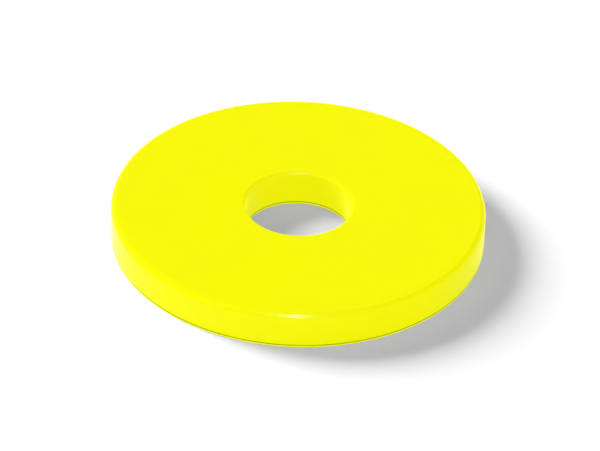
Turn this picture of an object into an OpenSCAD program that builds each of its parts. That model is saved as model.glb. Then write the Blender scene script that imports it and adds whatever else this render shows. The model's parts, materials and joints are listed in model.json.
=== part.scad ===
// Thick, hollow juggling ring with a small hole in the middle.
// An upper shell carries the top face, the rim wall and the hole wall; a shallow lower shell
// closes it from below. They meet in a fine line low on the rim and low in the hole.
// Screws from the underside hold the shells together round a foam core.
// Millimetres, +Z up, origin at the centre of the underside.

/* [Ring] */
// Outer diameter of the ring
ring_d = 320; // [240:1:400]
// Thickness of the ring, from the underside to the top face
ring_t = 33; // [27:0.5:45]
// Diameter of the hole in the middle
hole_d = 91; // [70:1:120]

/* [Edges] */
// Radius of the top face's outer edge
rim_edge_r = 5; // [3:0.5:8]
// Radius of the top face's edge round the hole
hole_edge_r = 3; // [1.5:0.5:5]
// Radius of the underside's edges, at the rim and at the hole
base_edge_r = 1.6; // [0.6:0.1:2]

/* [Shells] */
// Thickness of the top and bottom faces
face_t = 2; // [1.6:0.1:3]
// Thickness of the rim wall and the hole wall
wall_t = 2.4; // [1.8:0.1:3.5]
// Height of the joint between the shells, above the underside
joint_z = 2.2; // [2.1:0.1:5]
// Height of the open line that the upper shell leaves above the joint
line_h = 0.8; // [0.4:0.1:1.2]
// Depth of that line into the wall
line_depth = 1; // [0.4:0.1:1.1]

/* [Tongues] */
// Thickness of the tongue that stands inside each wall
tongue_t = 1.4; // [1:0.1:2]
// Height of the tongue above the joint
tongue_h = 6; // [3:0.5:9]
// Gap between the tongue and the wall that it centres
tongue_gap = 0.15; // [0.1:0.05:0.3]
// Bevel that leads the tongue into the wall
tongue_lead = 0.5; // [0.2:0.1:0.6]

/* [Screws] */
// Number of screws round the rim
rim_screws = 8; // [6:1:12]
// Number of screws round the hole
hole_screws = 4; // [3:1:8]
// From the rim to the middle of a rim screw
rim_screw_inset = 22; // [18:1:40]
// From the hole to the middle of a hole screw
hole_screw_inset = 18; // [15:1:30]
// Diameter over the screw's thread
screw_d = 3; // [2.5:0.1:3.6]
// Length of the screw below its head
screw_l = 12; // [8:0.5:14]
// Distance from one turn of the thread to the next
screw_pitch = 1.2; // [0.8:0.1:1.5]
// Depth of the thread
thread_depth = 0.4; // [0.2:0.05:0.5]
// Diameter of the screw's head
head_d = 5.6; // [4.6:0.1:6.8]
// Height of the screw's head
head_h = 2.2; // [1.6:0.1:2.8]
// Width of the cross in the screw's head
cross_w = 0.8; // [0.6:0.1:1]
// Length of each arm pair of the cross
cross_l = 3; // [2.4:0.1:3.6]
// Depth of the cross
cross_depth = 1.2; // [0.8:0.1:1.4]

/* [Bosses and posts] */
// Gap round the thread in its boss
thread_gap = 0.05; // [0.02:0.01:0.1]
// Gap round the thread where it passes through the post
shank_gap = 0.25; // [0.1:0.05:0.4]
// Wall of the boss round its thread
boss_wall = 2.4; // [1.8:0.1:3]
// Height of the post's top, where it meets the boss
post_h = 12; // [10:0.5:14]
// Wall of the post round its well
post_wall = 1.8; // [1.4:0.1:2.4]
// Thickness of the seat that the head pulls on
seat_t = 2.5; // [2:0.1:3]
// Bevel round the mouth of each well
well_bevel = 0.4; // [0.2:0.1:0.8]
// Gap round the head in its well
well_gap = 0.7; // [0.4:0.1:1]
// Free depth past the screw's tip
tip_room = 2; // [1:0.5:3]

/* [Plugs] */
// Gap round the plug's body in the well
plug_gap = 0.15; // [0.1:0.05:0.3]
// Height of each gripping rib on the plug
plug_rib = 0.15; // [0.05:0.05:0.15]
// Number of gripping ribs
plug_ribs = 3; // [1:1:4]
// Distance that the plug's face sits inside the underside
plug_sink = 0.3; // [0.2:0.1:0.6]
// Gap between the plug and the screw's head
plug_head_gap = 0.5; // [0.3:0.1:1]
// Bevel at both ends of the plug
plug_bevel = 0.4; // [0.2:0.1:0.6]

/* [Foam core] */
// Gap between the foam and the shells
foam_gap = 0.5; // [0.3:0.1:1]
// Gap between the foam and each post
foam_hole_gap = 0.8; // [0.5:0.1:2]

/* [Hidden] */
$fn = 96;
// Overrun of a cutting shape past the face that it cuts
cut = 1;
// Overlap that roots a boss or post in its shell
root = 1;
// Smallest radius inside a rounded edge
least_inner_r = 0.5;
// Half the foot of a thread's turn and of a plug's rib, as a share of their pitch
thread_foot = 0.3;
rib_foot = 0.25;

ring_r = ring_d / 2;
hole_r = hole_d / 2;
screw_r = screw_d / 2;
boss_r = screw_r + thread_gap + boss_wall;
well_r = head_d / 2 + well_gap;
post_r = well_r + post_wall;
seat_z = post_h - seat_t;
tip_z = seat_z + screw_l;

// Inner faces of the walls, and the tongues that stand against them
rim_wall_r = ring_r - wall_t;
hole_wall_r = hole_r + wall_t;
rim_tongue_r = rim_wall_r - tongue_gap;
hole_tongue_r = hole_wall_r + tongue_gap;
tongue_top = joint_z + tongue_h;

// The open space between the shells, inside the tongues
room_in_r = hole_tongue_r + tongue_t;
room_out_r = rim_tongue_r - tongue_t;

plug_top = seat_z - head_h - plug_head_gap;
plug_r = well_r - plug_gap;
rib_pitch = (plug_top - plug_sink) / (plug_ribs + 1);

shell_colour = [0.96, 0.96, 0.05];
foam_colour = [0.92, 0.92, 0.9];
steel_colour = [0.72, 0.73, 0.75];
plug_colour = [0.86, 0.88, 0.1];

// A quarter-round corner to cut away: its round faces the origin, its point is at [r, r]
module corner_round(r) {
    difference() {
        square(r + cut);
        circle(r);
    }
}

// A half section of the ring between two radii and two heights
module section(r1, r2, z1, z2) {
    translate([r1, z1])
        square([r2 - r1, z2 - z1]);
}

// Puts its children at each screw
module at_screws() {
    for (i = [0 : rim_screws - 1])
        rotate(i * 360 / rim_screws)
            translate([ring_r - rim_screw_inset, 0])
                children();
    for (i = [0 : hole_screws - 1])
        rotate((i + 0.5) * 360 / hole_screws)
            translate([hole_r + hole_screw_inset, 0])
                children();
}

// Outline of the ring above the joint, with its rounded top edges and the open line at its foot
module upper_outline() {
    difference() {
        section(hole_r, ring_r, joint_z, ring_t);
        translate([ring_r - rim_edge_r, ring_t - rim_edge_r])
            corner_round(rim_edge_r);
        translate([hole_r + hole_edge_r, ring_t - hole_edge_r])
            mirror([1, 0])
                corner_round(hole_edge_r);
        section(ring_r - line_depth, ring_r + cut, joint_z - cut, joint_z + line_h);
        section(hole_r - cut, hole_r + line_depth, joint_z - cut, joint_z + line_h);
    }
}

// Hollow of the upper shell, which keeps an even wall behind each rounded edge
module upper_hollow() {
    rim_inner_r = max(rim_edge_r - wall_t, least_inner_r);
    hole_inner_r = max(hole_edge_r - wall_t, least_inner_r);
    roof_z = ring_t - face_t;
    difference() {
        section(hole_wall_r, rim_wall_r, joint_z - cut, roof_z);
        translate([rim_wall_r - rim_inner_r, roof_z - rim_inner_r])
            corner_round(rim_inner_r);
        translate([hole_wall_r + hole_inner_r, roof_z - hole_inner_r])
            mirror([1, 0])
                corner_round(hole_inner_r);
    }
}

// Top face, rim wall and hole wall in one moulding, with a boss over each post
module upper_shell() {
    boss_root = ring_t - face_t + root;
    color(shell_colour)
    difference() {
        union() {
            rotate_extrude()
                difference() {
                    upper_outline();
                    upper_hollow();
                }
            at_screws()
                translate([0, 0, post_h])
                    cylinder(r = boss_r, h = boss_root - post_h);
        }
        at_screws()
            translate([0, 0, post_h - cut])
                cylinder(r = screw_r + thread_gap, h = tip_z + tip_room - post_h + cut);
    }
}

// Foot of the ring: the bottom face with its low edges and the two tongues
module lower_section() {
    difference() {
        union() {
            section(room_in_r - root, room_out_r + root, 0, face_t);
            section(hole_r, room_in_r, 0, joint_z);
            section(room_out_r, ring_r, 0, joint_z);
            tongue(hole_tongue_r, room_in_r);
            tongue(room_out_r, rim_tongue_r);
        }
        translate([ring_r - base_edge_r, base_edge_r])
            mirror([0, 1])
                corner_round(base_edge_r);
        translate([hole_r + base_edge_r, base_edge_r])
            mirror([1, 0])
                mirror([0, 1])
                    corner_round(base_edge_r);
    }
}

// Section of one tongue, bevelled at the top so that the walls slide over it
module tongue(r1, r2) {
    foot_z = joint_z - root;
    polygon([
        [r1, foot_z],
        [r2, foot_z],
        [r2, tongue_top - tongue_lead],
        [r2 - tongue_lead, tongue_top],
        [r1 + tongue_lead, tongue_top],
        [r1, tongue_top - tongue_lead]
    ]);
}

// Closes the ring from below; each post holds a screw's head down in a well
module lower_shell() {
    color(shell_colour)
    difference() {
        union() {
            rotate_extrude()
                lower_section();
            at_screws()
                translate([0, 0, face_t - root])
                    cylinder(r = post_r, h = post_h - face_t + root);
        }
        at_screws() {
            translate([0, 0, -cut])
                cylinder(r = well_r, h = seat_z + cut);
            translate([0, 0, -cut])
                cylinder(r1 = well_r + well_bevel + cut, r2 = well_r, h = well_bevel + cut);
            cylinder(r = screw_r + shank_gap, h = post_h + cut);
        }
    }
}

// Closed-cell foam cut to a ring, which keeps the thin faces from drumming and denting
module foam_core() {
    color(foam_colour)
    difference() {
        rotate_extrude()
            section(room_in_r + foam_gap, room_out_r - foam_gap, face_t + foam_gap, ring_t - face_t - foam_gap);
        at_screws()
            cylinder(r = post_r + foam_hole_gap, h = ring_t);
    }
}

// Half section of a screw: point, thread turns and a domed head, with the head's seat at 0
module screw_section() {
    core_r = screw_r - thread_depth;
    turns = floor((screw_l - screw_pitch) / screw_pitch);
    dome = head_h / 2;
    thread = [for (i = [0 : turns - 1]) each [
        [core_r, (i + 0.5 - thread_foot) * screw_pitch],
        [screw_r, (i + 0.5) * screw_pitch],
        [core_r, (i + 0.5 + thread_foot) * screw_pitch]
    ]];
    polygon(concat([[0, 0], [core_r, 0]], thread, [[core_r, screw_l - core_r], [0, screw_l]]));
    translate([0, -head_h])
        difference() {
            square([head_d / 2, head_h]);
            translate([head_d / 2 - dome, dome])
                mirror([0, 1])
                    corner_round(dome);
        }
}

// One thread-forming screw, head down
module screw() {
    difference() {
        rotate_extrude()
            screw_section();
        for (turn = [0, 90])
            rotate(turn)
                translate([-cross_l / 2, -cross_w / 2, -head_h - cut])
                    cube([cross_l, cross_w, cross_depth + cut]);
    }
}

// All the screws: steel, driven up from the underside
module shell_screws() {
    color(steel_colour)
    at_screws()
        translate([0, 0, seat_z])
            screw();
}

// Half section of a plug, from its sunk face up to just below the screw's head
module plug_section() {
    rib_half = rib_pitch * rib_foot;
    difference() {
        union() {
            section(0, plug_r, plug_sink, plug_top);
            for (i = [1 : plug_ribs])
                translate([plug_r, plug_sink + i * rib_pitch])
                    polygon([[-cut, -rib_half], [0, -rib_half], [plug_rib, 0], [0, rib_half], [-cut, rib_half]]);
        }
        for (z = [plug_sink, plug_top])
            translate([plug_r, z])
                rotate(45)
                    square(plug_bevel * sqrt(2), center = true);
    }
}

// Soft push-in plugs that close the wells, so that no edge meets the fingers
module screw_plugs() {
    color(plug_colour)
    at_screws()
        rotate_extrude()
            plug_section();
}

upper_shell();
lower_shell();
foam_core();
shell_screws();
screw_plugs();
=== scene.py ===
import json
import math
import random

import bpy
from mathutils import Matrix, Vector


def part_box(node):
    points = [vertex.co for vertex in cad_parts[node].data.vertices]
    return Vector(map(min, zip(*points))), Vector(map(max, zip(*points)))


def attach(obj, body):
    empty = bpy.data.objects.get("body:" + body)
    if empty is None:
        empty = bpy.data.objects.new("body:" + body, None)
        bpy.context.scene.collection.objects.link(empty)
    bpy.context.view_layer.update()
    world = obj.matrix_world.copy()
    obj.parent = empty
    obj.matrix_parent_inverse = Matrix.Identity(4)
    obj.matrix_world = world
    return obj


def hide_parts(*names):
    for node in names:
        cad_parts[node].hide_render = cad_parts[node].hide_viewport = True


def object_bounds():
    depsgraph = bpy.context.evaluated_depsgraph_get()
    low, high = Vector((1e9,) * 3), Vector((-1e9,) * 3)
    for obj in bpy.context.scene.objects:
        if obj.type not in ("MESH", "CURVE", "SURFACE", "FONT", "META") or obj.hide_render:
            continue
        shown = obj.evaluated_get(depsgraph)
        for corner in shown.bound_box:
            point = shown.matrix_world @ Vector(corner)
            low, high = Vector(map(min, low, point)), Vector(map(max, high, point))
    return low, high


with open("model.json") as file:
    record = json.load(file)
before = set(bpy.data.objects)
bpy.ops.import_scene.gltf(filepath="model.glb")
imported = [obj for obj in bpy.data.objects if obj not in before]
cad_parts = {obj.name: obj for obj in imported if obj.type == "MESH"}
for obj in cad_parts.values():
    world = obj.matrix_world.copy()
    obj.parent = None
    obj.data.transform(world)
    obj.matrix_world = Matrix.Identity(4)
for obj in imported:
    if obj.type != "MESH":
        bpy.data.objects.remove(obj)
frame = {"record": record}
cad_low, cad_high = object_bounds()


# ---- Upper shell ----
# The bright part that shows: top face, rim wall and hole wall in one injection moulding of
# fluorescent yellow plastic. It stands on the lower shell; its outer foot is cut back a
# little, which leaves the fine open line. Inside, a boss comes down over every screw.

# The ring lies on its underside, with Z up through the hole. Its outer sizes are the frame's.
mm = 0.001
ring_r = cad_high.x
ring_t = cad_high.z
hole = next(mount for mount in frame["record"]["mounts"] if mount["name"] == "centre_hole")
hole_r = hole["dims"]["r_mm"] * mm
wall_t = 2.4 * mm
face_t = 2 * mm
rim_edge_r = 5 * mm
hole_edge_r = 3 * mm
line_h = 0.8 * mm
line_depth = 1 * mm
broken_edge_r = 0.15 * mm
joint_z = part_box("upper_shell")[0].z
post_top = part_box("lower_shell")[1].z
roof_z = ring_t - face_t
rim_wall_r = ring_r - wall_t
hole_wall_r = hole_r + wall_t
base_edge_r = 1.6 * mm
shell_steps = 360

rim_screws = 8
hole_screws = 4
rim_screw_inset = 22 * mm
hole_screw_inset = 18 * mm
boss_r = 3.95 * mm
boss_bore_r = 1.55 * mm
boss_bore_top = 23.5 * mm
boss_foot_r = 0.3 * mm
boss_root = 1 * mm
boss_steps = 48
bore_lead = 0.4 * mm
bore_steps = 32
cut_past = 1 * mm


def rounded(corners):
    """An outline in (r, z) through corners given as (r, z, radius of the corner)."""
    least_steps = 3
    arc_step = 0.45 * mm
    outline = []
    for i, (r, z, radius) in enumerate(corners):
        corner = Vector((r, z))
        if radius == 0:
            outline.append(corner)
            continue
        back = (Vector(corners[i - 1][:2]) - corner).normalized()
        ahead = (Vector(corners[(i + 1) % len(corners)][:2]) - corner).normalized()
        turn = math.pi - back.angle(ahead)
        middle = corner + (back + ahead).normalized() * radius / math.cos(turn / 2)
        first = corner + back * radius * math.tan(turn / 2) - middle
        last = corner + ahead * radius * math.tan(turn / 2) - middle
        steps = least_steps + round(turn * radius / arc_step)
        # slerp gives a direction of length 1, so the corner's radius is put back.
        outline += [middle + first.slerp(last, k / steps) * radius for k in range(steps + 1)]
    return outline


def new_piece(name, points, faces):
    """A new object in the scene, with a mesh of its own. Its place is in its points."""
    mesh = bpy.data.meshes.new(name)
    mesh.from_pydata(points, [], faces)
    piece = bpy.data.objects.new(name, mesh)
    bpy.context.scene.collection.objects.link(piece)
    return piece


def turned(name, outline, steps, grow=None):
    """A solid turned about Z from an outline in (r, z) that runs anticlockwise. A point on the
    axis becomes a pole. grow(r, z, angle) may change the radius as the solid turns."""
    points, rows = [], []
    for r, z in outline:
        if r == 0:
            rows.append([len(points)] * steps)
            points.append((0, 0, z))
            continue
        rows.append(range(len(points), len(points) + steps))
        for k in range(steps):
            angle = math.tau * k / steps
            reach = grow(r, z, angle) if grow else r
            points.append((reach * math.cos(angle), reach * math.sin(angle), z))
    faces = []
    for low, high in zip(rows, rows[1:] + rows[:1]):
        for k in range(steps):
            after = (k + 1) % steps
            # At a pole two of the four corners are one point, which is kept once.
            face = list(dict.fromkeys((low[k], low[after], high[after], high[k])))
            if len(face) > 2:
                faces.append(face)
    return new_piece(name, points, faces)


def screw_places():
    """Where each screw stands: those round the rim, then those round the hole. The second row
    starts half a space later."""
    rows = ((rim_screws, ring_r - rim_screw_inset, 0), (hole_screws, hole_r + hole_screw_inset, 0.5))
    return [Matrix.Rotation(math.tau * (i + start) / count, 4, "Z") @ Matrix.Translation((r, 0, 0))
            for count, r, start in rows for i in range(count)]


def at_screws(single, twists=None):
    """Puts copies of one piece at every screw, joined as one object that takes its name. Each
    copy may be turned by its own twist."""
    points, faces = [], []
    for i, place in enumerate(screw_places()):
        if twists:
            place = place @ Matrix.Rotation(twists[i], 4, "Z")
        first = len(points)
        points += [place @ vertex.co for vertex in single.data.vertices]
        faces += [[first + v for v in face.vertices] for face in single.data.polygons]
    name = single.name
    # This clears the single piece too, which leaves its name free.
    bpy.data.meshes.remove(single.data)
    return new_piece(name, points, faces)


def carve(piece, operation, tool):
    """Joins a tool to the piece, or cuts it away, and clears the tool."""
    change = piece.modifiers.new("carve", "BOOLEAN")
    change.operation = operation
    change.solver = "MANIFOLD"
    change.object = tool
    carved = piece.evaluated_get(bpy.context.evaluated_depsgraph_get())
    mesh = bpy.data.meshes.new_from_object(carved)
    piece.modifiers.clear()
    piece.data = mesh
    bpy.data.objects.remove(tool)


def soften(piece, crease=45):
    """Smooth shading that keeps flat faces flat. Edges that turn by more than the crease, in
    degrees, stay sharp."""
    piece.data.shade_smooth()
    piece.data.set_sharp_from_angle(angle=math.radians(crease))
    even = piece.modifiers.new("even shading", "WEIGHTED_NORMAL")
    even.keep_sharp = True


upper_shell = turned("upper_shell_moulding", rounded([
    (ring_r, joint_z + line_h, broken_edge_r),
    (ring_r, ring_t, rim_edge_r),
    (hole_r, ring_t, hole_edge_r),
    (hole_r, joint_z + line_h, broken_edge_r),
    (hole_r + line_depth, joint_z + line_h, broken_edge_r),
    (hole_r + line_depth, joint_z, broken_edge_r),
    (hole_wall_r, joint_z, broken_edge_r),
    (hole_wall_r, roof_z, hole_edge_r - wall_t),
    (rim_wall_r, roof_z, rim_edge_r - wall_t),
    (rim_wall_r, joint_z, broken_edge_r),
    (ring_r - line_depth, joint_z, broken_edge_r),
    (ring_r - line_depth, joint_z + line_h, broken_edge_r),
]), shell_steps)
bosses = at_screws(turned("bosses", rounded([
    (0, post_top, 0),
    (boss_r, post_top, boss_foot_r),
    (boss_r, roof_z + boss_root, 0),
    (0, roof_z + boss_root, 0),
]), boss_steps))
bores = at_screws(turned("bores", [
    (0, post_top - cut_past),
    (boss_bore_r + bore_lead, post_top - cut_past),
    (boss_bore_r + bore_lead, post_top),
    (boss_bore_r, post_top + bore_lead),
    (boss_bore_r, boss_bore_top),
    (0, boss_bore_top + boss_bore_r),
], bore_steps))
carve(upper_shell, "UNION", bosses)
carve(upper_shell, "DIFFERENCE", bores)
soften(upper_shell)


class Signal:
    """One output among a material's nodes. A sum or product written with it adds a Math node."""

    def __init__(self, tree, socket):
        self.tree = tree
        self.socket = socket

    def node(self, kind, settings, inputs, output=0):
        """Adds a node, sets its settings and then its sockets, and gives one of its outputs."""
        added = self.tree.nodes.new(kind)
        for name, setting in settings.items():
            setattr(added, name, setting)
        for name, value in inputs.items():
            if isinstance(value, Signal):
                value.feed(added.inputs[name])
            else:
                added.inputs[name].default_value = value
        return Signal(self.tree, added.outputs[output])

    def feed(self, socket):
        """Links this output to a socket."""
        self.tree.links.new(self.socket, socket)

    def maths(self, operation, first, second):
        return self.node("ShaderNodeMath", {"operation": operation}, {0: first, 1: second})

    def __add__(self, other):
        return self.maths("ADD", self, other)

    def __radd__(self, other):
        return self.maths("ADD", other, self)

    def __mul__(self, other):
        return self.maths("MULTIPLY", self, other)

    def __rmul__(self, other):
        return self.maths("MULTIPLY", other, self)

    def ramp(self, low, high, start=0.0, end=1.0):
        """A smooth step from start to end as the value goes from low to high."""
        return self.node("ShaderNodeMapRange", {"interpolation_type": "SMOOTHSTEP"}, {
            "Value": self, "From Min": low, "From Max": high, "To Min": start, "To Max": end})

    def noise(self, size, detail=2.0, roughness=0.5):
        """Soft random patches about as far apart as the size."""
        return self.node("ShaderNodeTexNoise", {}, {
            "Vector": self, "Scale": 1 / size, "Detail": detail, "Roughness": roughness})

    def stretched(self, turn, times, offset):
        """The same place turned about Z and drawn out, so that a pattern on it becomes long hairs."""
        return self.node("ShaderNodeMapping", {}, {
            "Vector": self,
            "Rotation": (0, 0, turn),
            "Scale": (1 / times, 1, 1),
            "Location": (offset, 0, 0),
        })

    def tint(self, plain, changed):
        """A colour that goes from plain to changed as the value goes from 0 to 1."""
        # A Mix node has sockets of every data type; these are its factor and its colours.
        factor, colour_a, colour_b, mixed_colour = 0, 6, 7, 2
        return self.node("ShaderNodeMix", {"data_type": "RGBA"}, {
            factor: self, colour_a: plain, colour_b: changed}, mixed_colour)

    def bump(self, depth):
        """A normal that follows the value as a relief of this depth."""
        return self.node("ShaderNodeBump", {}, {"Strength": 1.0, "Distance": depth, "Height": self})


def new_finish(name, settings):
    """A new material with its even settings. Gives the material, its shader, and the place on the
    piece that its patterns follow."""
    material = bpy.data.materials.new(name)
    material.use_nodes = True
    tree = material.node_tree
    shader = tree.nodes["Principled BSDF"]
    for socket, value in settings.items():
        shader.inputs[socket].default_value = value
    place = tree.nodes.new("ShaderNodeTexCoord")
    return material, shader, Signal(tree, place.outputs["Object"])


def yellow_plastic(name, rubbed):
    """Fluorescent yellow plastic, smooth and softly glossy: clouds of dye, a fine moulded skin,
    hairline scuffs and pale, dulled edges, with a painted glow that evens its shading and painted
    shade in the open line. rubbed says how much wear the piece has had."""
    dye = (0.235, 0.233, 0.0, 1)
    thin_dye = (0.222, 0.228, 0.001, 1)
    pale_dye = (0.28, 0.278, 0.05, 1)
    # Painted light: glow colours for the face, for the walls and edges, and a greener one for the foot.
    face_painted_light = (0.905, 0.893, 0.0, 1)
    wall_and_edge_painted_light = (1.0, 0.99, 0.0, 1)
    foot_painted_light = (0.95, 1.0, 0.0, 1)
    # Painted shade: a dim green glow inside the open line.
    line_painted_shade = (0.24, 0.32, 0.0, 1)
    face_roughness = 0.4
    edge_roughness = 0.14
    skin_depth = 0.012 * mm
    # The emission set here is painted light, a glow that evens the plastic's shading.
    material, shader, place = new_finish(name, {
        "Specular IOR Level": 0.07,
        "Subsurface Weight": 0.12,
        "Subsurface Radius": (1.0, 1.0, 0.1),
        "Subsurface Scale": 1.5 * mm,
        "Emission Strength": 0.71,
    })
    flat = place.node("ShaderNodeVectorMath", {"operation": "MULTIPLY"}, {0: place, 1: (1, 1, 0)})
    radius = flat.node("ShaderNodeVectorMath", {"operation": "LENGTH"}, {0: flat}, "Value")
    height = place.node("ShaderNodeSeparateXYZ", {}, {0: place}, "Z")
    clouds = place.noise(60 * mm, 3)
    grain = place.noise(0.9 * mm, 2)

    # Three sets of hairline scuffs cross each other, each showing only in its own patches.
    hair_w = 1.1 * mm
    hair_stretch = 30
    scuffs = 0
    for turn, offset, patch_size in ((0.4, 0, 35 * mm), (1.5, 3.1, 31.57 * mm), (2.6, 7.7, 27.57 * mm)):
        hairs = place.stretched(turn, hair_stretch, offset).noise(hair_w, 1)
        patches = place.noise(patch_size, 1)
        scuffs = hairs.ramp(0.66, 0.70) * patches.ramp(0.5, 0.65) + scuffs

    # Hands and floors rub the two top edges and the foot most, in broken patches.
    top_edge = height.ramp(ring_t - 4 * mm, ring_t - 1.5 * mm)
    rim_edge = radius.ramp(ring_r - 3.5 * mm, ring_r - 1 * mm) * top_edge
    hole_edge = radius.ramp(hole_r + 0.6 * mm, hole_r + 2 * mm, 1, 0) * top_edge
    foot = height.ramp(0.2 * mm, base_edge_r, 1, 0)
    rub = (rim_edge + hole_edge + foot) * place.noise(4 * mm, 4, 0.6).ramp(0.42, 0.62)
    wear = (rub * 0.5 + scuffs * 0.5) * rubbed

    # Painted light: the plastic glows as no lamp does, more on the walls and edges than on the faces
    # and greener towards the foot; inside the open line the glow is dim, as painted shade.
    line_top = joint_z + line_h
    low_wall_top = 9 * mm
    blend = 0.15 * mm
    rim_wall = radius.ramp(ring_r - 1.4 * mm, ring_r - 1.2 * mm)
    hole_wall = radius.ramp(hole_r + 1.2 * mm, hole_r + 1.4 * mm, 1, 0)
    above_joint = height.ramp(joint_z - blend, joint_z)
    below_wall = height.ramp(line_top, line_top + blend, 1, 0)
    line_shade_mask = (rim_wall + hole_wall) * above_joint * below_wall
    on_edge = height.ramp(ring_t - 1.2 * mm, ring_t - 0.05 * mm, 1, 0) * height.ramp(0, 1 * mm)
    low_wall = height.ramp(line_top, low_wall_top, 1, 0)
    painted_light = low_wall.tint(on_edge.tint(face_painted_light, wall_and_edge_painted_light), foot_painted_light)
    # Inside the open line the glow is dimmed to a green, as painted shade.
    line_shade_mask.tint(painted_light, line_painted_shade).feed(shader.inputs["Emission Color"])

    colour = clouds.ramp(0.35, 0.65).tint(dye, thin_dye)
    wear.ramp(0, 1).tint(colour, pale_dye).feed(shader.inputs["Base Color"])
    polish = on_edge.ramp(0, 1, face_roughness, edge_roughness)
    roughness = polish + clouds * 0.03 + grain * 0.03 + wear * 0.25 + hole_edge * 0.12
    roughness.feed(shader.inputs["Roughness"])
    skin = place.noise(2.6 * mm, 2) + grain * 0.3
    skin.bump(skin_depth).feed(shader.inputs["Normal"])
    return material


upper_shell.data.materials.clear()
upper_shell.data.materials.append(yellow_plastic("yellow_plastic_upper", 0.35))
upper_shell.visible_diffuse = False
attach(upper_shell, "root")
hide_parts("upper_shell")


# ---- Foam core ----
# A ring of white closed-cell foam, die-cut from sheet, that lies between the two faces and
# keeps them from drumming. The cutter leaves its sides slightly hollow and its edges soft.
# The foam stops short of the lower shell's two tongues, which stand just inside the walls.
tongue_t = 1.4 * mm
tongue_gap = 0.15 * mm
foam_gap = 0.5 * mm
foam_low, foam_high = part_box("foam_core")
foam_in_r = hole_wall_r + tongue_gap + tongue_t + foam_gap
foam_hole_r = 6.1 * mm
foam_edge_r = 0.8 * mm
foam_side_sink = 0.7 * mm
foam_steps = 300
foam_hole_steps = 40


def hollow_side(r, sink, z_from, z_to):
    """Points up or down a cut side, which sinks in a gentle curve between its two edges."""
    steps = 10
    return [(r + sink * math.sin(math.pi * k / steps), z_from + (z_to - z_from) * k / steps, 0)
            for k in range(1, steps)]


def level(r_from, r_to, z):
    """Points along a flat face, a few millimetres apart."""
    steps = 26
    return [(r_from + (r_to - r_from) * k / steps, z, 0) for k in range(1, steps)]


foam_core = turned("foam_core_cut", rounded(
    [(foam_high.x, foam_low.z, foam_edge_r)]
    + hollow_side(foam_high.x, -foam_side_sink, foam_low.z, foam_high.z)
    + [(foam_high.x, foam_high.z, foam_edge_r)]
    + level(foam_high.x, foam_in_r, foam_high.z)
    + [(foam_in_r, foam_high.z, foam_edge_r)]
    + hollow_side(foam_in_r, foam_side_sink, foam_high.z, foam_low.z)
    + [(foam_in_r, foam_low.z, foam_edge_r)]
    + level(foam_in_r, foam_high.x, foam_low.z)
), foam_steps)
foam_holes = at_screws(turned("foam_holes", rounded(
    [(0, foam_low.z - cut_past, 0), (foam_hole_r, foam_low.z - cut_past, 0)]
    + hollow_side(foam_hole_r, -foam_side_sink / 2, foam_low.z, foam_high.z)
    + [(foam_hole_r, foam_high.z + cut_past, 0), (0, foam_high.z + cut_past, 0)]
), foam_hole_steps))
carve(foam_core, "DIFFERENCE", foam_holes)
soften(foam_core)


def white_foam():
    """Closed-cell foam: small cells that stand out as dents, dull, with a faint grey between."""
    cell_white = (0.86, 0.86, 0.84, 1)
    grey_between = (0.74, 0.74, 0.71, 1)
    cell_size = 0.9 * mm
    cell_depth = 0.2 * mm
    material, shader, place = new_finish("white_foam", {
        "Specular IOR Level": 0.3,
        "Subsurface Weight": 0.2,
        "Subsurface Scale": 1 * mm,
    })
    cells = place.node("ShaderNodeTexVoronoi", {"feature": "F1"}, {
        "Vector": place, "Scale": 1 / cell_size})
    shade = place.noise(12 * mm, 3)
    cells.ramp(0.3, 0.9).tint(cell_white, grey_between).feed(shader.inputs["Base Color"])
    (0.82 + shade * 0.12).feed(shader.inputs["Roughness"])
    (cells * 0.8 + shade * 0.2).bump(cell_depth).feed(shader.inputs["Normal"])
    return material


foam_core.data.materials.clear()
foam_core.data.materials.append(white_foam())
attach(foam_core, "root")
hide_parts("foam_core")


# ---- Lower shell ----
# The shallow underside moulding, in the same plastic. Two tongues stand inside the walls of
# the upper shell and centre it; a post at each screw holds the head down in a deep well.
tongue_h = 6 * mm
tongue_lead = 0.5 * mm
tongue_top = joint_z + tongue_h
inner_corner_r = 0.5 * mm
post_r = 5.3 * mm
post_steps = 64
well_r = 3.5 * mm
well_bevel = 0.4 * mm
seat_t = 2.5 * mm
seat_z = post_top - seat_t
shank_hole_r = 1.75 * mm
rim_tongue_r = rim_wall_r - tongue_gap
hole_tongue_r = hole_wall_r + tongue_gap

lower_shell = turned("lower_shell_moulding", rounded([
    (ring_r, 0, base_edge_r),
    (ring_r, joint_z, broken_edge_r),
    (rim_tongue_r, joint_z, 0),
    (rim_tongue_r, tongue_top - tongue_lead, 0),
    (rim_tongue_r - tongue_lead, tongue_top, 0),
    (rim_tongue_r - tongue_t, tongue_top, broken_edge_r),
    (rim_tongue_r - tongue_t, face_t, inner_corner_r),
    (hole_tongue_r + tongue_t, face_t, inner_corner_r),
    (hole_tongue_r + tongue_t, tongue_top, broken_edge_r),
    (hole_tongue_r + tongue_lead, tongue_top, 0),
    (hole_tongue_r, tongue_top - tongue_lead, 0),
    (hole_tongue_r, joint_z, 0),
    (hole_r, joint_z, broken_edge_r),
    (hole_r, 0, base_edge_r),
]), shell_steps)
posts = at_screws(turned("posts", rounded([
    (0, face_t / 2, 0),
    (post_r, face_t / 2, 0),
    (post_r, post_top, boss_foot_r),
    (0, post_top, 0),
]), post_steps))
wells = at_screws(turned("wells", [
    (0, -cut_past),
    (well_r + well_bevel, -cut_past),
    (well_r + well_bevel, 0),
    (well_r, well_bevel),
    (well_r, seat_z),
    (shank_hole_r, seat_z),
    (shank_hole_r, post_top + cut_past),
    (0, post_top + cut_past),
], post_steps))
carve(lower_shell, "UNION", posts)
carve(lower_shell, "DIFFERENCE", wells)
soften(lower_shell)
lower_shell.data.materials.clear()
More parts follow.
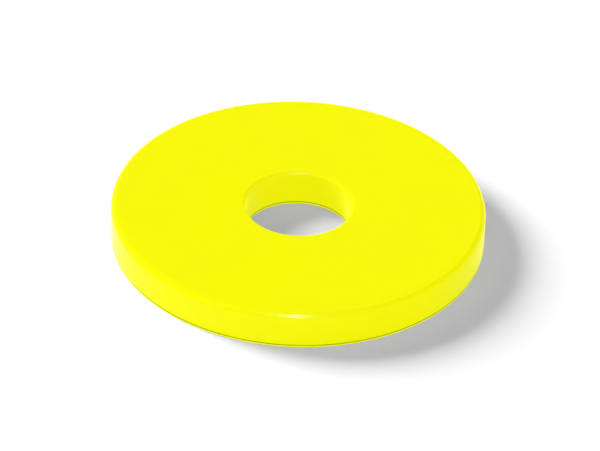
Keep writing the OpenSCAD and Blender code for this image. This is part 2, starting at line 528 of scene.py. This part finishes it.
lower_shell.data.materials.append(yellow_plastic("yellow_plastic_lower", 0.5))
lower_shell.visible_diffuse = False
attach(lower_shell, "root")
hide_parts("lower_shell")


# ---- Screws ----
# Twelve zinc-plated, thread-forming steel screws, cold-headed and thread-rolled. Each is
# driven up from the underside: its domed head sits in the well and its point in the boss.
screw_r = 1.5 * mm
screw_l = 12 * mm
core_r = 1.1 * mm
pitch = 1.2 * mm
# The ridge's half width and the start of its run-in are shares of the pitch.
ridge_half_w = 0.3
run_in_start = 0.1
thread_rows = 160
screw_steps = 36
head_r = 2.8 * mm
head_h = 2.2 * mm
head_flat_r = 0.4 * head_r
head_edge_r = 1.1 * mm
head_crease = 50
cross_w = 0.8 * mm
cross_l = 3 * mm
cross_depth = 1.2 * mm
cross_taper = 0.6


def thread(r, z, angle):
    """Radius of the thread: one ridge that climbs a pitch in each turn and fades at both ends.
    Points that aren't on the core keep their own radius."""
    if r != core_r:
        return r
    climb = (z / pitch - angle / math.tau) % 1
    ridge = max(0, 1 - abs(climb - 0.5) / ridge_half_w)
    fade = min(1, z / pitch - run_in_start, (point_z - z) / pitch)
    return r + (screw_r - core_r) * ridge * max(0, fade)


point_z = screw_l - core_r
shank = [(core_r, point_z * k / thread_rows) for k in range(1, thread_rows + 1)]
screw = turned("screws_steel", [
    (0, -head_h),
    *rounded([
        (head_flat_r, -head_h, 0),
        (head_r, -head_h, head_edge_r),
        (head_r, 0, broken_edge_r),
        (core_r + broken_edge_r, 0, 0),
    ]),
    *shank,
    (0, screw_l),
], screw_steps, thread)


def cross_blade(turn):
    """One tapered blade of the cross-shaped driver that forms the recess: three rectangles, one
    above the other, with four sides between each two."""
    corners = [(-1, -1), (1, -1), (1, 1), (-1, 1)]
    rows = ((-head_h - cut_past, 1), (-head_h, 1), (-head_h + cross_depth, cross_taper))
    points = [Vector((x * cross_l / 2 * share, y * cross_w / 2 * share, z))
              for z, share in rows for x, y in corners]
    sides = len(corners)
    faces = [(3, 2, 1, 0), (8, 9, 10, 11)]
    for low in (0, sides):
        high = low + sides
        for k in range(sides):
            after = (k + 1) % sides
            faces.append((low + k, low + after, high + after, high + k))
    spin = Matrix.Rotation(turn, 4, "Z")
    return new_piece("cross_blade", [spin @ point for point in points], faces)


for turn in (0, math.pi / 2):
    carve(screw, "DIFFERENCE", cross_blade(turn))
for vertex in screw.data.vertices:
    vertex.co.z += seat_z
random.seed(12)
screws = at_screws(screw, [random.uniform(0, math.tau) for _ in range(rim_screws + hole_screws)])
soften(screws, head_crease)


def zinc_steel():
    """Zinc-plated steel: a cool grey with a faint blue and straw bloom, and fine rolling marks."""
    blue_grey = (0.62, 0.66, 0.72, 1)
    straw_grey = (0.74, 0.72, 0.64, 1)
    mark_depth = 0.006 * mm
    material, shader, place = new_finish("zinc_steel", {"Metallic": 1.0})
    bloom = place.noise(1.5 * mm, 2)
    marks = place.noise(0.15 * mm, 2)
    bloom.ramp(0.3, 0.7).tint(blue_grey, straw_grey).feed(shader.inputs["Base Color"])
    (0.22 + marks * 0.16 + bloom * 0.06).feed(shader.inputs["Roughness"])
    marks.bump(mark_depth).feed(shader.inputs["Normal"])
    return material


screws.data.materials.clear()
screws.data.materials.append(zinc_steel())
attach(screws, "root")
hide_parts("shell_screws")


# ---- Plugs ----
# Twelve soft rubber plugs, moulded in a duller yellow. Each is pushed into a well, where its
# three ribs grip; its dished face, with a small gate mark, stays just inside the underside.
plug_low, plug_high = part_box("screw_plugs")
plug_r = 3.35 * mm
plug_rib = 0.15 * mm
plug_ribs = 3
plug_bevel = 0.4 * mm
plug_steps = 64
plug_crease = 35
dish_r = plug_r - 1.5 * plug_bevel
dish_depth = 0.35 * mm
gate_r = 0.5 * mm
gate_top_r = 0.35 * mm
gate_h = 0.2 * mm
rib_pitch = (plug_high.z - plug_low.z) / (plug_ribs + 1)
rib_half_h = rib_pitch / 4


def plug_outline():
    """From the dished lower face with its gate mark, up the ribbed side, to the flat top."""
    dish_z = plug_low.z + dish_depth
    dish_steps = 8
    face = [(0, dish_z - gate_h), (gate_top_r, dish_z - gate_h), (gate_r, dish_z)]
    for k in range(1, dish_steps + 1):
        share = k / dish_steps
        face.append((gate_r + (dish_r - gate_r) * share, dish_z - dish_depth * share ** 2))
    rib_steps = 6
    side = [(plug_r - plug_bevel, plug_low.z), (plug_r, plug_low.z + plug_bevel)]
    for i in range(1, plug_ribs + 1):
        rib_z = plug_low.z + i * rib_pitch
        for k in range(rib_steps + 1):
            across = 2 * k / rib_steps - 1
            side.append((plug_r + plug_rib * (1 - across ** 2), rib_z + across * rib_half_h))
    top = [(plug_r, plug_high.z - plug_bevel), (plug_r - plug_bevel, plug_high.z), (0, plug_high.z)]
    return face + side + top


plugs = at_screws(turned("plugs_rubber", plug_outline(), plug_steps))
soften(plugs, plug_crease)


def soft_rubber():
    """Soft yellow rubber: duller than the shells, with a matt bloom and fine specks of dust."""
    rubber = (0.66, 0.68, 0.02, 1)
    pale_rubber = (0.70, 0.71, 0.05, 1)
    dusty_rubber = (0.62, 0.62, 0.30, 1)
    skin_depth = 0.01 * mm
    material, shader, place = new_finish("soft_rubber", {"Specular IOR Level": 0.35})
    bloom = place.noise(3 * mm, 3)
    dust = place.noise(0.25 * mm, 1).ramp(0.62, 0.72)
    colour = bloom.ramp(0.35, 0.65).tint(rubber, pale_rubber)
    dust.tint(colour, dusty_rubber).feed(shader.inputs["Base Color"])
    (0.5 + bloom * 0.12 + dust * 0.15).feed(shader.inputs["Roughness"])
    place.noise(0.3 * mm, 2).bump(skin_depth).feed(shader.inputs["Normal"])
    return material


plugs.data.materials.clear()
plugs.data.materials.append(soft_rubber())
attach(plugs, "root")
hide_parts("screw_plugs")


# ---- Floor ----
# A plain white studio floor of matt paint. It is wide enough to run out of sight behind the
# ring, so that no edge of it shows.
far = 8.0
floor = new_piece("floor", [(-far, -far, 0), (far, -far, 0), (far, far, 0), (-far, far, 0)],
                  [(0, 1, 2, 3)])
floor_paint = new_finish("floor_paint", {
    "Base Color": (0.82, 0.82, 0.82, 1),
    "Roughness": 0.9,
    "Specular IOR Level": 0.0,
})[0]
floor.data.materials.append(floor_paint)


# ---- Light ----
# A broad soft key from behind on the left throws the shadow, and two softer lights fill the
# walls and the face. A narrow strip in front puts the small highlight on the rim's edge, and
# a pale sky that greys overhead closes the rest.
def soft_sun(name, direction, strength, spread):
    """A light that comes evenly from one direction, as soft as its spread in degrees. It is left
    out of the gloss, where it would show as a large disc."""
    data = bpy.data.lights.new(name, "SUN")
    data.energy = strength
    data.angle = math.radians(spread)
    light = bpy.data.objects.new(name, data)
    light.rotation_mode = "QUATERNION"
    light.rotation_quaternion = Vector(direction).to_track_quat("Z", "Y")
    light.visible_glossy = False
    bpy.context.scene.collection.objects.link(light)


soft_sun("key", direction=(-0.78, 0.46, 0.47), strength=5.6, spread=33)
soft_sun("front_fill", direction=(0.1, -0.75, 0.66), strength=1.35, spread=50)
soft_sun("overhead_fill", direction=(0, 0, 1), strength=0.33, spread=60)

strip_distance = 2.0
strip_rise = math.radians(45)
strip_w = 0.06
strip_l = 2.3
strip_power = 110.0
strip_side = Vector((0, -math.cos(strip_rise), math.sin(strip_rise)))
strip_data = bpy.data.lights.new("gloss_strip", "AREA")
strip_data.shape = "RECTANGLE"
strip_data.size = strip_w
strip_data.size_y = strip_l
strip_data.energy = strip_power
strip = bpy.data.objects.new("gloss_strip", strip_data)
strip.location = strip_side * strip_distance
strip.rotation_mode = "QUATERNION"
strip.rotation_quaternion = strip_side.to_track_quat("Z", "Y")
strip.visible_diffuse = False
bpy.context.scene.collection.objects.link(strip)

horizon_white = (1.0, 1.0, 1.0, 1)
overhead_grey = (0.1, 0.1, 0.1, 1)
world = bpy.data.worlds.new("pale_room")
world.use_nodes = True
bpy.context.scene.world = world
sky_place = world.node_tree.nodes.new("ShaderNodeTexCoord")
direction = Signal(world.node_tree, sky_place.outputs["Generated"])
rise = direction.node("ShaderNodeSeparateXYZ", {}, {0: direction}, "Z")
sky = rise.ramp(0.05, 0.35).tint(horizon_white, overhead_grey)
sky.feed(world.node_tree.nodes["Background"].inputs["Color"])


# ---- Camera ----
# A long lens a little above the ring, looking down on it from the front and held slightly
# off level.
camera_distance = 3.2
camera_elevation = math.radians(35.53)
camera_roll = math.radians(2.05)
camera_slide = 1.6 * mm
camera_drop = 5.6 * mm
camera_lens = 224.4
camera_film_w = 36
camera_reach = 30
camera_data = bpy.data.cameras.new("camera")
camera_data.sensor_width = camera_film_w
camera_data.lens = camera_lens
camera_data.clip_end = camera_reach
camera = bpy.data.objects.new("camera", camera_data)
bpy.context.scene.collection.objects.link(camera)
ring_middle = Vector((0, 0, ring_t / 2))
towards_camera = Vector((0, -math.cos(camera_elevation), math.sin(camera_elevation)))
aim = towards_camera.to_track_quat("Z", "Y").to_matrix().to_4x4()
camera.matrix_world = (Matrix.Translation(ring_middle + towards_camera * camera_distance)
                       @ aim @ Matrix.Rotation(camera_roll, 4, "Z")
                       @ Matrix.Translation((camera_slide, -camera_drop, 0)))
bpy.context.scene.camera = camera
# This transform leaves the strong yellow at full strength.
bpy.context.scene.view_settings.view_transform = "Standard"
